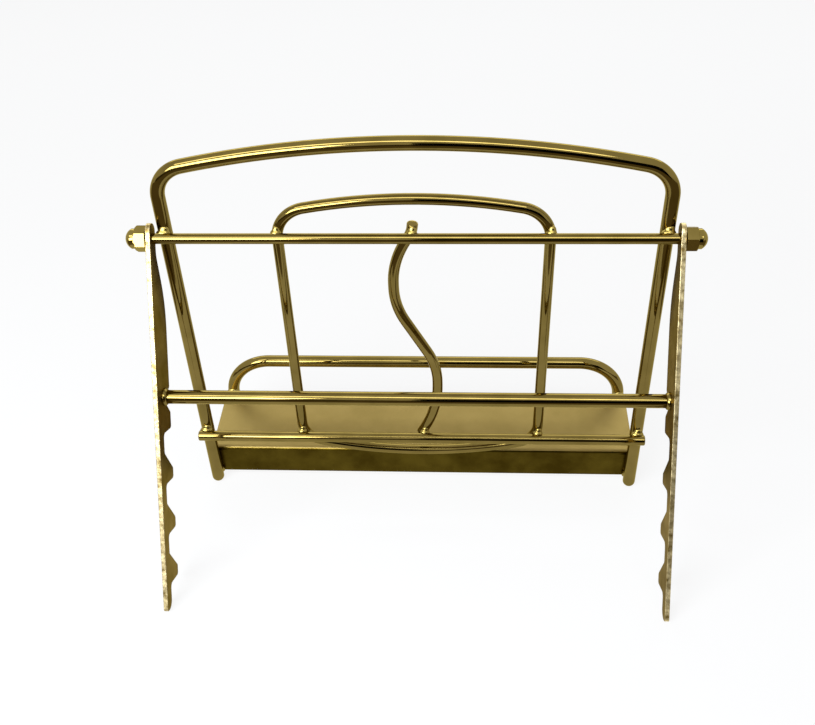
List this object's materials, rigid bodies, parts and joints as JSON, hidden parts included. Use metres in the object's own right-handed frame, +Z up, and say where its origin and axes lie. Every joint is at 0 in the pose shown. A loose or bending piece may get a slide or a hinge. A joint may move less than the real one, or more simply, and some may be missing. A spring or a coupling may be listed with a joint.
{
  "type": "magazine rack",
  "caption": "Brass-plated wire easel stand: a leaning hoop frame with a scroll loop, a railed shelf for magazines, and a notched prop hinged behind.",
  "frame": {"origin": "on the floor under the middle of the object's box", "axes": "+Z up; +X to the right as seen from the prop's side, along the shelf; +Y forward, the way the shelf faces; the prop stands towards -Y"},
  "size_m": [0.276, 0.16, 0.2243],
  "materials": {
    "hoop_wire": "polished brass plating on round steel wire",
    "fine_wire": "polished brass plating on thinner round steel wire",
    "shelf_sheet": "satin brass plating on sheet steel",
    "leg_strip": "polished brass plating on punched steel strip, rougher along the cut edges",
    "weld_metal": "bright plated weld beads",
    "nut_metal": "polished domed nuts"
  },
  "bodies": {
    "frame": {"outer_hoop": "hoop_wire", "inner_loop": "fine_wire", "s_wire": "fine_wire", "pivot_rod": "fine_wire", "lower_crossbar": "fine_wire", "frame_welds": "weld_metal", "shelf": "shelf_sheet", "shelf_welds": "weld_metal", "shelf_rail": "hoop_wire", "rail_welds": "weld_metal", "left_acorn_nut": "nut_metal", "right_acorn_nut": "nut_metal"},
    "prop": {"left_notched_leg": "leg_strip", "right_notched_leg": "leg_strip", "leg_cross_rod": "hoop_wire", "leg_rod_welds": "weld_metal"}
  },
  "joints": [
    {"name": "prop_swing", "type": "hinge", "parent": "frame", "child": "prop", "pos_m": [0, 0.00041, 0.17296], "axis": [1, 0, 0], "range_deg": [-150, 24]}
  ]
}
